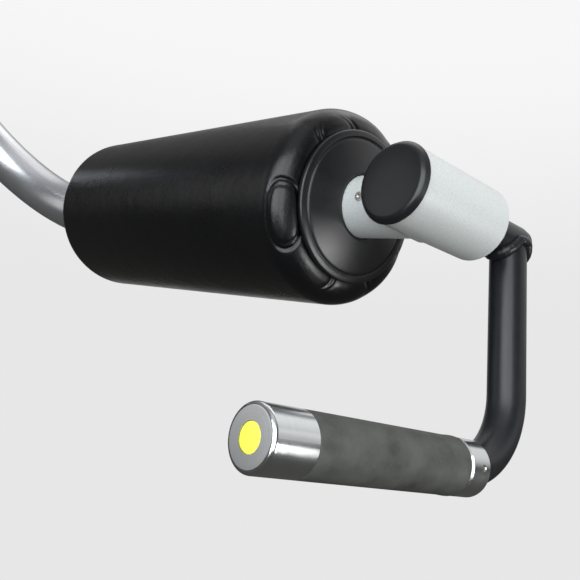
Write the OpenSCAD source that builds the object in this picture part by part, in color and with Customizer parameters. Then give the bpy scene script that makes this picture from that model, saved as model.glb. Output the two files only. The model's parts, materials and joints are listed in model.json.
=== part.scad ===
// Lever-arm end of a gym machine: a padded roller on a bent tube, and a hand grip that hangs
// from a welded cross tube and swings on two ball bearings.
// +Z is up, +Y runs along the cross tube towards the hanging tube, and the roller lies
// towards -X and rises gently. The origin is the centre of the bent tube's open end.

/* [Cross tube and spigot] */
// Outside diameter of the cross tube that houses the pivot
cross_d = 60; // [58:0.5:64]
// Length of the cross tube
cross_len = 100; // [98:1:120]
// Outside diameter of the spigot that joins the cross tube to the arm
spigot_d = 51; // [48:0.5:51]
// Diameter of the domed end plug's head
plug_d = 61.5; // [61:0.5:64]

/* [Pivot] */
// Outside diameter of the two ball bearings
bearing_od = 52; // [52:1:52]
// Bore of the two ball bearings
bearing_id = 25; // [25:1:25]
// Width of each ball bearing
bearing_w = 15; // [15:1:15]
// Diameter of the pivot shaft outside the cross tube
shaft_d = 28.6; // [28:0.1:30]

/* [Arm tube] */
// Outside diameter of the arm tube
arm_d = 57; // [57:0.5:60]
// Wall of the arm tube
arm_wall = 3; // [3:0.25:4]
// Centre-line radius of the arm tube's bend
arm_bend_r = 200; // [150:5:260]
// Angle of the arm tube's bend
arm_bend_a = 90; // [60:5:100]
// Turn of the bend about the roller's axis, from straight up towards -Y
arm_roll = 52; // [30:1:80]
// Length of the straight end that the machine holds
arm_grip_len = 110; // [90:5:200]
// Upward tilt of the roller's axis
roller_tilt = 11; // [0:1:25]

/* [Roller] */
// Outside diameter of the padded roller
roller_d = 170; // [150:5:180]
// Distance from the pivot axis to the roller's near face
roller_start = 86.5; // [86:0.5:100]
// Length of the padded roller between its end faces
roller_len = 392; // [300:4:420]
// Thickness of the vinyl cover
cover_t = 1.2; // [1:0.1:2]
// Diameter of the end flanges
flange_d = 126.6; // [120:0.2:130]

/* [Handle] */
// Diameter of the hanging tube
drop_d = 30; // [28:0.5:31]
// Distance from the pivot axis down to the grip's axis
drop_len = 188; // [170:1:220]
// Distance from the cross tube's near end to the hanging tube's axis
drop_y = 147; // [146:1:160]
// Centre-line radius of the hanging tube's bend
drop_bend_r = 60; // [50:1:64]
// Diameter of the rubber grip
grip_d = 41; // [38:0.5:44]
// Distance that the grip's end face stands in front of the cross tube's near end
grip_front = 110.5; // [100:0.5:130]
// Diameter of the coloured disc in the end cap
disc_d = 18.6; // [14:0.2:22]

/* [Hidden] */
$fn = 96;

spigot_y = cross_len / 2;                   // the spigot meets the cross tube at its middle
spigot_wall = 3.5;
spigot_end = 150;                           // how far the spigot reaches into the arm tube
arm_start = 84;                             // the arm tube's near end, from the pivot axis
bend_start = 526;                           // where the arm tube starts to bend
arm_bore = arm_d - 2 * arm_wall;
lock_pin_d = 8;
side_screw_z = 57;                          // the small screw in the spigot's side

// bearings along the pivot axis, from the cross tube's near end
near_bearing_y = 14;
far_bearing_y = cross_len - bearing_w - 9;
bearing_mid_d = (bearing_od + bearing_id) / 2;
race_outer_d = bearing_od - 8;
race_inner_d = bearing_id + 8;
ball_d = 8;
ball_gap = 0.3;
balls = 9;
clip_t = 2;
clip_depth = 1.5;

// the roller's parts along its axis, from the pivot axis
roller_end = roller_start + roller_len;
near_shoulder = 21;
far_shoulder = 18;
core_d = 76;
core_wall = 3;
core_bore = core_d - 2 * core_wall;
bush_gap = 0.05;                            // radial running clearance on the arm tube
bush_len = 25;
keeper_z = roller_start + 3.5;
washer_z = keeper_z + clip_t;
near_bush_z = washer_z + 2.3;
far_bush_z = roller_end - 19;
stop_z = far_bush_z + bush_len + 2.6;
stop_len = 14;

// the handle along the grip's axis, from the cross tube's near end
shaft_end = drop_y + 14.7;
cap_len = 35;
rubber_start = cap_len - grip_front;
rubber_end = 73.5;
collar_len = 21.5;
insert_len = 25;
tube_end = rubber_start - 12;               // the hanging tube's end, inside the cap

// The arm tube's open end, seen from the pivot's frame; the whole part is moved back by it.
arm_out = arm_bend_r * (1 - cos(arm_bend_a)) + arm_grip_len * sin(arm_bend_a);
arm_along = bend_start + arm_bend_r * sin(arm_bend_a) + arm_grip_len * cos(arm_bend_a);
arm_up = arm_out * cos(arm_roll);
arm_side = arm_out * sin(arm_roll);
arm_end = [
    arm_up * sin(roller_tilt) - arm_along * cos(roller_tilt),
    spigot_y - arm_side,
    arm_up * cos(roller_tilt) + arm_along * sin(roller_tilt)];

// ---------- places ----------

// Moves a piece from the pivot's frame to the part's own frame.
module in_place() { translate(-arm_end) children(); }

// Stands a piece on the pivot axis: its +Z becomes +Y.
module on_pivot() { in_place() rotate([-90, 0, 0]) children(); }

// Lays a piece along the roller's axis: its +Z points away from the cross tube.
module on_roller() {
    in_place() translate([0, spigot_y, 0]) rotate([0, roller_tilt - 90, 0]) children();
}

// Lays a piece along the grip's axis: its +Z becomes +Y.
module on_grip() { in_place() translate([0, 0, -drop_len]) rotate([-90, 0, 0]) children(); }

// ---------- shapes ----------

// A plain ring from z, h tall.
module ring(outer, inner, h, z = 0) {
    translate([0, 0, z]) difference() {
        cylinder(d = outer, h = h);
        translate([0, 0, -1]) cylinder(d = inner, h = h + 2);
    }
}

// A retaining ring with a gap and its two ears' holes left out.
module snap_ring(outer, inner, h, z) {
    difference() {
        ring(outer, inner, h, z);
        translate([0, -4, z - 1]) cube([outer, 8, h + 2]);
    }
}

// A turned cylinder whose two ends have round edges of their own radii.
module round_ended(r, z0, z1, edge0, edge1) {
    rotate_extrude() {
        translate([0, z0]) square([r - edge0, z1 - z0]);
        translate([0, z0 + edge0]) square([r, z1 - z0 - edge0 - edge1]);
        translate([0, z0 + edge0]) square([r - edge1, z1 - z0 - edge0]);
        intersection() {
            translate([r - edge0, z0 + edge0]) circle(r = edge0);
            translate([0, z0]) square([r, edge0 + 1]);
        }
        intersection() {
            translate([r - edge1, z1 - edge1]) circle(r = edge1);
            translate([0, z1 - edge1 - 1]) square([r, edge1 + 1]);
        }
    }
}

// A solid rod along the arm tube's path, from the near end to the open end.
module arm_path(d, extra) {
    rotate([0, 0, -arm_roll]) {
        translate([0, 0, arm_start - extra]) cylinder(d = d, h = bend_start - arm_start + extra);
        translate([arm_bend_r, 0, bend_start]) rotate([90, 0, 0])
            rotate_extrude(angle = arm_bend_a, start = 180 - arm_bend_a)
                translate([arm_bend_r, 0]) circle(d = d);
        translate([arm_bend_r * (1 - cos(arm_bend_a)), 0,
                bend_start + arm_bend_r * sin(arm_bend_a)])
            rotate([0, arm_bend_a, 0]) cylinder(d = d, h = arm_grip_len + extra);
    }
}

// A solid rod along the hanging tube's path: down, round the bend and along the grip.
module drop_path(d) {
    in_place() {
        translate([0, drop_y, drop_bend_r - drop_len]) cylinder(d = d, h = drop_len - drop_bend_r);
        translate([0, drop_y - drop_bend_r, drop_bend_r - drop_len]) rotate([90, 0, 90])
            rotate_extrude(angle = 90, start = 270)
                translate([drop_bend_r, 0]) circle(d = d);
        translate([0, tube_end, -drop_len]) rotate([-90, 0, 0])
            cylinder(d = d, h = drop_y - drop_bend_r - tube_end);
    }
}

// Half of a ball groove's cut, at its mean radius.
module groove(z) {
    translate([0, 0, z]) rotate_extrude()
        translate([bearing_mid_d / 2, 0]) circle(d = ball_d + 2 * ball_gap);
}

// ---------- arm ----------

module arm_tube() {
    color("slategray") on_roller() difference() {
        arm_path(arm_d, 0);
        arm_path(arm_bore, 1);
        lock_pin();
    }
}

module pivot_spigot() {
    color("gainsboro") difference() {
        on_roller() ring(spigot_d, spigot_d - 2 * spigot_wall, spigot_end, 0);
        on_pivot() translate([0, 0, -20]) cylinder(d = cross_d, h = cross_len + 40);
        on_roller() lock_pin();
        on_roller() side_screw_shank();
    }
}

module spigot_weld() {
    bead = 3;
    color("gainsboro") difference() {
        intersection() {
            on_roller() cylinder(d = spigot_d + 2 * bead, h = cross_d);
            on_pivot() cylinder(d = cross_d + bead, h = cross_len);
        }
        on_roller() cylinder(d = spigot_d, h = cross_d + 1);
        on_pivot() translate([0, 0, -1]) cylinder(d = cross_d, h = cross_len + 2);
    }
}

// The cross pin that locks the spigot in the arm tube.
module lock_pin() {
    translate([0, 0, spigot_end - 15]) rotate([0, 90, 0])
        cylinder(d = lock_pin_d, h = 2 * arm_d, center = true);
}

module spigot_pin() {
    color("dimgray") on_roller() intersection() {
        lock_pin();
        cylinder(d = arm_d, h = spigot_end);
    }
}

// The side screw's shank, from inside the spigot's bore outwards.
module side_screw_shank() {
    translate([0, 0, side_screw_z]) rotate([90, 0, 0]) translate([0, 0, spigot_d / 2 - 6])
        cylinder(d = 4, h = 6.5);
}

module spigot_screw() {
    head_d = 7;
    socket_d = 3;
    color("silver") on_roller() {
        side_screw_shank();
        translate([0, 0, side_screw_z]) rotate([90, 0, 0]) difference() {
            translate([0, 0, spigot_d / 2]) cylinder(d = head_d, h = 1.8);
            translate([0, 0, spigot_d / 2 + 0.8]) cylinder(d = socket_d, h = 2, $fn = 6);
        }
    }
}

module cross_tube() {
    edge = 0.8;
    color("lightgray") on_pivot() difference() {
        union() {
            translate([0, 0, edge]) cylinder(d = cross_d, h = cross_len - 2 * edge);
            cylinder(d1 = cross_d - 2 * edge, d2 = cross_d, h = edge);
            translate([0, 0, cross_len - edge])
                cylinder(d1 = cross_d, d2 = cross_d - 2 * edge, h = edge);
        }
        translate([0, 0, -1]) cylinder(d = bearing_od, h = cross_len + 2);
        ring(bearing_od + 2 * clip_depth, bearing_od - 1, clip_t, near_bearing_y - clip_t);
        ring(bearing_od + 2 * clip_depth, bearing_od - 1, clip_t, far_bearing_y + bearing_w);
    }
}

module end_plug() {
    head_t = 3.3;
    dome_h = 1.6;
    skirt_h = 8;
    sphere_r = (pow(plug_d / 2 - 2, 2) + dome_h * dome_h) / (2 * dome_h);
    color([0.12, 0.12, 0.13]) on_pivot() {
        difference() {
            union() {
                round_ended(plug_d / 2, -head_t, 0, 1.6, 0.1);
                intersection() {
                    translate([0, 0, sphere_r - head_t - dome_h]) sphere(r = sphere_r, $fn = 180);
                    translate([0, 0, -head_t - dome_h - 1]) cylinder(d = plug_d - 4, h = dome_h + 2);
                }
                cylinder(d = bearing_od, h = skirt_h);
            }
            translate([0, 0, 1]) cylinder(d = bearing_od - 5, h = skirt_h + 1);
        }
    }
}

// ---------- bearings ----------

module outer_race(y) {
    color("lightsteelblue") on_pivot() difference() {
        ring(bearing_od, race_outer_d, bearing_w, y);
        groove(y + bearing_w / 2);
    }
}

module inner_race(y) {
    color("lightsteelblue") on_pivot() difference() {
        ring(race_inner_d, bearing_id, bearing_w, y);
        groove(y + bearing_w / 2);
    }
}

// Balls joined by the cage that carries them round.
module ball_set(y) {
    cage_w = 2;
    cage_h = 5;
    color("goldenrod") on_pivot() translate([0, 0, y + bearing_w / 2]) {
        ring(bearing_mid_d + cage_w, bearing_mid_d - cage_w, cage_h, -cage_h / 2);
        for (i = [0 : balls - 1])
            rotate([0, 0, i * 360 / balls]) translate([bearing_mid_d / 2, 0, 0]) sphere(d = ball_d);
    }
}

module near_outer_ring() { outer_race(near_bearing_y); }
module far_outer_ring() { outer_race(far_bearing_y); }
module near_inner_ring() { inner_race(near_bearing_y); }
module far_inner_ring() { inner_race(far_bearing_y); }
module near_ball_set() { ball_set(near_bearing_y); }
module far_ball_set() { ball_set(far_bearing_y); }

module outer_spacer() {
    gap_y = near_bearing_y + bearing_w;
    color("gray") on_pivot() ring(bearing_od, bearing_od - 6, far_bearing_y - gap_y, gap_y);
}

module inner_spacer() {
    gap_y = near_bearing_y + bearing_w;
    color("gray") on_pivot() ring(bearing_id + 5, bearing_id, far_bearing_y - gap_y, gap_y);
}

module near_circlip() {
    color("dimgray") on_pivot()
        snap_ring(bearing_od + 2 * clip_depth, bearing_od - 6, clip_t, near_bearing_y - clip_t);
}

module far_circlip() {
    color("dimgray") on_pivot()
        snap_ring(bearing_od + 2 * clip_depth, bearing_od - 6, clip_t, far_bearing_y + bearing_w);
}

module dust_seal() {
    lip_gap = 0.4;
    seal_y = far_bearing_y + bearing_w + clip_t + 0.5;
    color("black") on_pivot()
        ring(bearing_od, shaft_d + 2 * lip_gap, cross_len - seal_y - 1, seal_y);
}

// ---------- roller ----------

module roller_keeper_ring() {
    color("dimgray") on_roller() snap_ring(arm_d + 6, arm_d, clip_t, keeper_z);
}

module near_thrust_washer() {
    color("whitesmoke") on_roller() ring(arm_d + 8, arm_d + 0.4, 2, washer_z);
}

module far_thrust_washer() {
    color("whitesmoke") on_roller() ring(arm_d + 12, arm_d + 0.4, 2, stop_z - 2.3);
}

module stop_collar() {
    collar_d = arm_d + 24;
    slot = 2;
    color("dimgray") on_roller() difference() {
        ring(collar_d, arm_d, stop_len, stop_z);
        for (side = [-1, 1])
            translate([side > 0 ? arm_d / 2 - 2 : -collar_d, -slot / 2, stop_z - 1])
                cube([collar_d, slot, stop_len + 2]);
        collar_bolts(5);
    }
}

// Two bolts across the split stop collar, one on each side of the tube.
module collar_bolts(d) {
    for (side = [-1, 1])
        translate([side * (arm_d / 2 + 6), -15, stop_z + stop_len / 2]) rotate([-90, 0, 0])
            cylinder(d = d, h = 30);
}

module stop_collar_screws() {
    color("silver") on_roller() collar_bolts(5);
}

module roller_core() {
    color("darkgray") on_roller() ring(core_d, core_bore, roller_len, roller_start);
}

module roller_foam() {
    color("tan") on_roller() difference() {
        round_ended(roller_d / 2 - cover_t, roller_start + cover_t, roller_end - cover_t,
            near_shoulder - cover_t, far_shoulder - cover_t);
        translate([0, 0, roller_start]) cylinder(d = core_d, h = roller_len);
    }
}

module roller_cover() {
    color([0.08, 0.08, 0.09]) on_roller() difference() {
        round_ended(roller_d / 2, roller_start, roller_end, near_shoulder, far_shoulder);
        round_ended(roller_d / 2 - cover_t, roller_start + cover_t, roller_end - cover_t,
            near_shoulder - cover_t, far_shoulder - cover_t);
        translate([0, 0, roller_start - 1]) cylinder(d = core_d, h = roller_len + 2);
    }
}

// Moulded end flange with its face at z = 0: a rolled rim, a groove and a shallow cone that
// rises to a hub of the given bore, with a ring behind that presses into the core tube.
module flange(bore, cone_h) {
    rim_r = 3;
    cone_d = flange_d - 13;
    cone_edge = 4.2;
    web = 3;
    ring_wall = 1.8;
    ring_len = 7.5;
    difference() {
        rotate_extrude() {
            translate([flange_d / 2 - rim_r, -rim_r]) circle(r = rim_r);
            polygon([[bore / 2, -cone_h], [cone_d / 2 - 1, -cone_edge - 0.6], [cone_d / 2, -cone_edge],
                [cone_d / 2, -2.6], [flange_d / 2 - rim_r, -2.6], [flange_d / 2 - rim_r, 0],
                [core_bore / 2, 0], [core_bore / 2, ring_len], [core_bore / 2 - ring_wall, ring_len],
                [core_bore / 2 - ring_wall, web - cone_h + 1], [bore / 2, web - cone_h]]);
        }
        translate([0, 0, -50]) cylinder(d = bore, h = 100);
    }
}

module near_flange() {
    color([0.1, 0.1, 0.11]) on_roller() translate([0, 0, roller_start]) flange(spigot_d + 1.6, 11.8);
}

module far_flange() {
    color([0.1, 0.1, 0.11]) on_roller() translate([0, 0, roller_end]) mirror([0, 0, 1])
        flange(core_bore, 4);
}

module near_bush() {
    color("ivory") on_roller() ring(core_bore, arm_d + 2 * bush_gap, bush_len, near_bush_z);
}

module far_bush() {
    color("ivory") on_roller() ring(core_bore, arm_d + 2 * bush_gap, bush_len, far_bush_z);
}

// ---------- handle ----------

module pivot_shaft() {
    journal_end = far_bearing_y + bearing_w;
    dome = 7;
    bolt_hole = 12;
    color([0.15, 0.15, 0.16]) on_pivot() difference() {
        union() {
            translate([0, 0, near_bearing_y]) cylinder(d = bearing_id, h = cross_len - near_bearing_y);
            round_ended(shaft_d / 2, journal_end, shaft_end, 1, dome);
        }
        translate([0, 0, near_bearing_y - 1]) cylinder(d = bolt_hole, h = 26);
    }
}

module shaft_bolt() {
    head_h = 5;
    color("silver") on_pivot() translate([0, 0, near_bearing_y - 2]) {
        translate([0, 0, -head_h]) cylinder(d = 18, h = head_h, $fn = 6);
        cylinder(d = 12, h = 24);
    }
}

module shaft_washer() {
    color("silver") on_pivot() ring(32, 12, 2, near_bearing_y - 2);
}

module shaft_weld() {
    bead = 3;
    color([0.15, 0.15, 0.16]) difference() {
        intersection() {
            in_place() translate([0, drop_y, -cross_d]) cylinder(d = drop_d + 2 * bead, h = cross_d);
            on_pivot() translate([0, 0, drop_y - 30]) cylinder(d = shaft_d + 2 * bead, h = 60);
            in_place() translate([-50, drop_y - 17, -50]) cube([100, 31, 50 - shaft_d * 0.05]);
        }
        in_place() translate([0, drop_y, -cross_d - 1]) cylinder(d = drop_d, h = cross_d + 40);
        on_pivot() translate([0, 0, 50]) cylinder(d = shaft_d, h = drop_y);
    }
}

module drop_tube() {
    wall = 2.5;
    color([0.15, 0.15, 0.16]) difference() {
        drop_path(drop_d);
        drop_path(drop_d - 2 * wall);
        on_pivot() translate([0, 0, 50]) cylinder(d = shaft_d, h = drop_y);
        in_place() translate([0, drop_y, 25]) cube([50, 50, 50], center = true);
        on_grip() translate([0, 0, tube_end - 1]) cylinder(d = drop_d - 2 * wall, h = 20);
    }
}

module grip_collar() {
    screw_y = rubber_end + 13.5;
    chamfer = 1.6;
    color("silver") difference() {
        on_grip() translate([0, 0, rubber_end]) union() {
            cylinder(d1 = grip_d - 2 * chamfer, d2 = grip_d, h = chamfer);
            translate([0, 0, chamfer]) cylinder(d = grip_d, h = collar_len - 1.4 * chamfer);
            translate([0, 0, collar_len - 0.4 * chamfer])
                cylinder(d1 = grip_d, d2 = grip_d - 0.8 * chamfer, h = 0.4 * chamfer);
        }
        drop_path(drop_d);
        on_grip() translate([0, 0, screw_y]) rotate([0, 90, 0]) cylinder(d = 5, h = 40);
    }
}

module collar_screw() {
    screw_y = rubber_end + 13.5;
    color("silver") difference() {
        on_grip() translate([0, 0, screw_y]) rotate([0, 90, 0]) difference() {
            translate([0, 0, drop_d / 2]) cylinder(d = 5, h = (grip_d - drop_d) / 2 - 0.6);
            translate([0, 0, grip_d / 2 - 2]) cylinder(d = 2.6, h = 4, $fn = 6);
        }
        drop_path(drop_d);
    }
}

module rubber_grip() {
    color([0.25, 0.25, 0.25]) on_grip() ring(grip_d, drop_d, rubber_end - rubber_start, rubber_start);
}

module end_cap() {
    edge = 3;
    screw_hole = 8.5;
    recess = 1;
    color("silver") on_grip() difference() {
        round_ended(grip_d / 2, -grip_front, rubber_start, edge, 0.3);
        translate([0, 0, -grip_front - 1]) cylinder(d = disc_d, h = 1 + recess);
        translate([0, 0, -grip_front - 1]) cylinder(d = 15, h = 1 + recess + 7);
        translate([0, 0, -grip_front - 1]) cylinder(d = screw_hole, h = cap_len);
        translate([0, 0, tube_end]) cylinder(d = drop_d, h = cap_len);
    }
}

module tube_insert() {
    color("dimgray") on_grip() ring(drop_d - 5, 6.8, insert_len, tube_end);
}

module cap_screw() {
    head_z = 8 - grip_front;
    color("dimgray") on_grip() difference() {
        union() {
            translate([0, 0, head_z - 6]) cylinder(d = 13, h = 6);
            translate([0, 0, head_z]) cylinder(d = 6.8, h = 30);
        }
        translate([0, 0, head_z - 7]) cylinder(d = 6, h = 5, $fn = 6);
    }
}

module cap_disc() {
    color("yellow") on_grip() translate([0, 0, -grip_front]) cylinder(d = disc_d, h = 1);
}

arm_tube();
pivot_spigot();
spigot_weld();
spigot_pin();
spigot_screw();
cross_tube();
end_plug();
near_outer_ring();
far_outer_ring();
outer_spacer();
near_circlip();
far_circlip();
dust_seal();
roller_keeper_ring();
near_thrust_washer();
far_thrust_washer();
stop_collar();
stop_collar_screws();
roller_core();
roller_foam();
roller_cover();
near_flange();
far_flange();
near_bush();
far_bush();
near_ball_set();
far_ball_set();
pivot_shaft();
shaft_weld();
drop_tube();
near_inner_ring();
far_inner_ring();
inner_spacer();
shaft_washer();
shaft_bolt();
grip_collar();
collar_screw();
rubber_grip();
end_cap();
tube_insert();
cap_screw();
cap_disc();
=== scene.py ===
# %% [markdown]
# # The padded roller and swinging hand grip of a gym machine's lever
# A bent silver tube carries a padded roller, which a leg or an arm pushes against. Welded across
# the tube's end is a short, fat tube with two ball bearings in it, and a bent black handle hangs
# from them. The frame that is loaded here already has every hard part at its real size and place,
# so this script adds what the eye sees: the stuffed cover, weld beads, moulded edges and finishes.

# %% Load the frame
import json
from math import atan2, cos, degrees, exp, pi, radians, sin

import bmesh
import bpy
from mathutils import Matrix, Vector


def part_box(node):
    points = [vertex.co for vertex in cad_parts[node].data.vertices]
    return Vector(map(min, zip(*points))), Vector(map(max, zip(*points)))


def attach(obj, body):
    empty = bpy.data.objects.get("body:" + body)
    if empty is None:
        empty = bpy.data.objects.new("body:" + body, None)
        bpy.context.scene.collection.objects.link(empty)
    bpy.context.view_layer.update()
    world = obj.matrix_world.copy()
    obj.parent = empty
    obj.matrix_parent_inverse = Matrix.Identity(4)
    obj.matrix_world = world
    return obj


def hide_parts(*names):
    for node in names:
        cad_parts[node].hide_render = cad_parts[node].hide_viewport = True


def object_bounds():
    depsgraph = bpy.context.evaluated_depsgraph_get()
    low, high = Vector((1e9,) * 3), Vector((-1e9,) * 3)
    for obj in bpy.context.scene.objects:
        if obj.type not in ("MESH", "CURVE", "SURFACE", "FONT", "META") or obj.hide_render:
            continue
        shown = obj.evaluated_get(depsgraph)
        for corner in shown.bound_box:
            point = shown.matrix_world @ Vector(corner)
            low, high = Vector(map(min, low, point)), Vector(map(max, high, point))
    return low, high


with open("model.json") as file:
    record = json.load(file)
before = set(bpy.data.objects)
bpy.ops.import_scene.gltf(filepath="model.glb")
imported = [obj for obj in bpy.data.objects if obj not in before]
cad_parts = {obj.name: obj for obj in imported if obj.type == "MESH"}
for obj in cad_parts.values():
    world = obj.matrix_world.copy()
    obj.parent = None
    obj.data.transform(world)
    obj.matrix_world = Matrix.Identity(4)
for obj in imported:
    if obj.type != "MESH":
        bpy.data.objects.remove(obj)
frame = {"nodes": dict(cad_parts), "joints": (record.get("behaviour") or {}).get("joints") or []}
cad_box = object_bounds()
nodes = frame["nodes"]
joints = {joint["name"]: joint for joint in frame["joints"]}
print("parts in the frame:", len(nodes), "joints:", sorted(joints))

# %% [markdown]
# ## Three sets of axes
# Turned parts are easy to describe round their own axis, in millimetres. So each of the three axes
# of this object, the roller's, the pivot's and the grip's, gets a placing matrix: local Z runs along
# the axis and one local unit is a millimetre. A piece is modelled round local Z and placed once,
# in its mesh, so its object stays at the origin as the frame's own parts do.

# %% Placing matrices
MM = 0.001
UP = Vector((0, 0, 1))


def placing(origin, axis, side=UP):
    """Local Z runs along axis and local X as near to side as it can, with 1 mm local units."""
    z = Vector(axis).normalized()
    x = (Vector(side) - z * z.dot(side)).normalized()
    turn = Matrix((x, z.cross(x), z)).transposed().to_4x4()
    return Matrix.Translation(origin) @ turn @ Matrix.Scale(MM, 4)


def reach(node, place):
    """A node's lowest and highest place along an axis, and its largest radius round it, in mm."""
    to_local = place.inverted()
    points = [to_local @ vertex.co for vertex in nodes[node].data.vertices]
    heights = [point.z for point in points]
    return min(heights), max(heights), max(point.xy.length for point in points)


on_roller = placing(joints["roller_spin"]["pos_m"], joints["roller_spin"]["axis"])
on_pivot = placing(joints["handle_swing"]["pos_m"], joints["handle_swing"]["axis"])
cap_low, cap_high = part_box("end_cap")
grip_centre = Vector(joints["handle_swing"]["pos_m"])
grip_centre.z = (cap_low.z + cap_high.z) / 2
on_grip = placing(grip_centre, joints["handle_swing"]["axis"])
cover_start, cover_end, cover_r = reach("roller_cover", on_roller)
print(f"roller: {cover_end - cover_start:.1f} mm long, radius {cover_r:.1f} mm")

# %% [markdown]
# ## The camera
# A view from a little below the object, on the side that the grip's end cap faces, shows both the
# cap and the underside of the tubes. The camera stands at a point measured from the pivot. Its turn
# is built from the way it looks and a small roll.

# %% Camera
EYE = Vector((323.8, -382.8, -213.7)) * MM
LOOK = Vector((-0.7179, 0.6487, 0.2525)).normalized()
ROLL = radians(4.98)
LENS = 47.33

camera = bpy.data.objects.new("camera", bpy.data.cameras.new("camera"))
bpy.context.collection.objects.link(camera)
camera.data.lens = LENS
camera.data.sensor_width = 36
camera.data.clip_start = 0.01
pivot = Vector(joints["handle_swing"]["pos_m"])
turn = LOOK.to_track_quat("-Z", "Y").to_matrix().to_4x4() @ Matrix.Rotation(ROLL, 4, "Z")
camera.matrix_world = Matrix.Translation(pivot + EYE) @ turn
bpy.context.scene.camera = camera
print("camera below the pivot:", round(-EYE.z / MM, 1), "mm, lens:", LENS, "mm")

# %% [markdown]
# ## Floor and light
# A studio for a catalogue is a white sweep with large soft boxes. Gloss shows whatever stands round
# the object, so tall boxes at the front and the right and a low one at the side draw the long
# highlights along the tubes, and a weak box overhead softens the shadows. The floor lies well below
# the object, so it doesn't hide the low box, and it only looks bright to the camera.

# %% Floor and soft boxes
FLOOR_DROP = 1.8                             # from the object's lowest point, in metres
PALE = 0.80                                  # the floor as the camera sees it
FLOOR_BOUNCE = (0.075, 0.075, 0.070, 1)      # the light that the floor sends up at the object
FADE_START, FADE_END = 0.4, 3.5              # where the floor's own shading has faded, in metres
NEAR_SHARE = 0.90                            # how much of the even grey is mixed in at the middle


def math_node(tree, operation, *values, clamp=False):
    """A math node fed by sockets or plain numbers; returns its output."""
    node = tree.nodes.new("ShaderNodeMath")
    node.operation = operation
    node.use_clamp = clamp
    for place, value in enumerate(values):
        if isinstance(value, (int, float)):
            node.inputs[place].default_value = value
        else:
            tree.links.new(value, node.inputs[place])
    return node.outputs[0]


def sweep_paper():
    """Pale paper that takes a shadow under the object and fades into the even background."""
    paper = bpy.data.materials.new("pale_paper")
    paper.use_nodes = True
    tree = paper.node_tree
    shader = tree.nodes["Principled BSDF"]
    shader.inputs["Base Color"].default_value = (PALE, PALE, PALE, 1)
    shader.inputs["Roughness"].default_value = 0.9
    glow = tree.nodes.new("ShaderNodeEmission")
    glow.inputs["Color"].default_value = (PALE, PALE, PALE, 1)
    dim = tree.nodes.new("ShaderNodeEmission")
    dim.inputs["Color"].default_value = FLOOR_BOUNCE
    spot = tree.nodes.new("ShaderNodeTexCoord")
    length = tree.nodes.new("ShaderNodeVectorMath")
    length.operation = "LENGTH"
    centre = tree.nodes.new("ShaderNodeVectorMath")
    centre.operation = "SUBTRACT"
    centre.inputs[1].default_value = (pivot.x, pivot.y, cad_box[0].z - FLOOR_DROP)
    fade = tree.nodes.new("ShaderNodeMapRange")
    fade.interpolation_type = "SMOOTHSTEP"
    fade.inputs["From Min"].default_value = FADE_START
    fade.inputs["From Max"].default_value = FADE_END
    fade.inputs["To Min"].default_value = NEAR_SHARE
    rays = tree.nodes.new("ShaderNodeLightPath")
    near = tree.nodes.new("ShaderNodeMixShader")
    seen = tree.nodes.new("ShaderNodeMixShader")
    tree.links.new(spot.outputs["Object"], centre.inputs[0])
    tree.links.new(centre.outputs[0], length.inputs[0])
    tree.links.new(length.outputs["Value"], fade.inputs["Value"])
    tree.links.new(fade.outputs["Result"], near.inputs["Fac"])
    tree.links.new(shader.outputs["BSDF"], near.inputs[1])
    tree.links.new(glow.outputs["Emission"], near.inputs[2])
    tree.links.new(rays.outputs["Is Camera Ray"], seen.inputs["Fac"])
    tree.links.new(dim.outputs["Emission"], seen.inputs[1])
    tree.links.new(near.outputs["Shader"], seen.inputs[2])
    tree.links.new(seen.outputs["Shader"], tree.nodes["Material Output"].inputs["Surface"])
    return paper


def make_floor():
    """A pale floor well under the object, large enough to fade into the background."""
    bm = bmesh.new()
    bmesh.ops.create_circle(bm, cap_ends=True, cap_tris=False, segments=64, radius=60)
    mesh = bpy.data.meshes.new("studio_floor")
    bm.to_mesh(mesh)
    bm.free()
    mesh.transform(Matrix.Translation((pivot.x, pivot.y, cad_box[0].z - FLOOR_DROP)))
    mesh.materials.append(sweep_paper())
    floor = bpy.data.objects.new("studio_floor", mesh)
    bpy.context.collection.objects.link(floor)


def soft_box(name, target, direction, distance, size, glow, tint=(1, 1, 1)):
    """A rectangular lamp that stands away from target along direction; glow is its brightness."""
    data = bpy.data.lights.new(name, "AREA")
    data.shape = "RECTANGLE"
    data.size, data.size_y = size
    data.energy = glow * pi * size[0] * size[1]
    data.color = tint
    lamp = bpy.data.objects.new(name, data)
    bpy.context.collection.objects.link(lamp)
    away = Vector(direction).normalized()
    lamp.matrix_world = (Matrix.Translation(target + away * distance)
                         @ (-away).to_track_quat("-Z", "Y").to_matrix().to_4x4())


make_floor()
middle = pivot + Vector((-0.12, 0.05, -0.1))
soft_box("overhead_box", middle, (-0.1, 0.15, 1.0), 1.8, (1.7, 1.3), 0.8)
soft_box("tall_front_box", middle, (0.42, -0.90, 0.05), 1.8, (1.40, 1.80), 4.9, (0.90, 0.95, 1.0))
soft_box("right_box", middle, (0.84, -0.50, 0.0), 1.8, (0.60, 1.80), 4.6, (0.94, 0.97, 1.0))
soft_box("low_side_box", middle, (0.84, 0.39, -0.38), 2.0, (0.80, 0.62), 9.5)
print("lamps:", sorted(lamp.name for lamp in bpy.data.lights))

# %% [markdown]
# ## Light from the room
# The lamps alone would leave black gloss without shape, so the rest of the room glows faintly: each
# lobe is a soft patch of light in one direction, such as a lit wall or a door. One patch needs only
# a dot product and a smooth step, which costs little and is easy to move.

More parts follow.
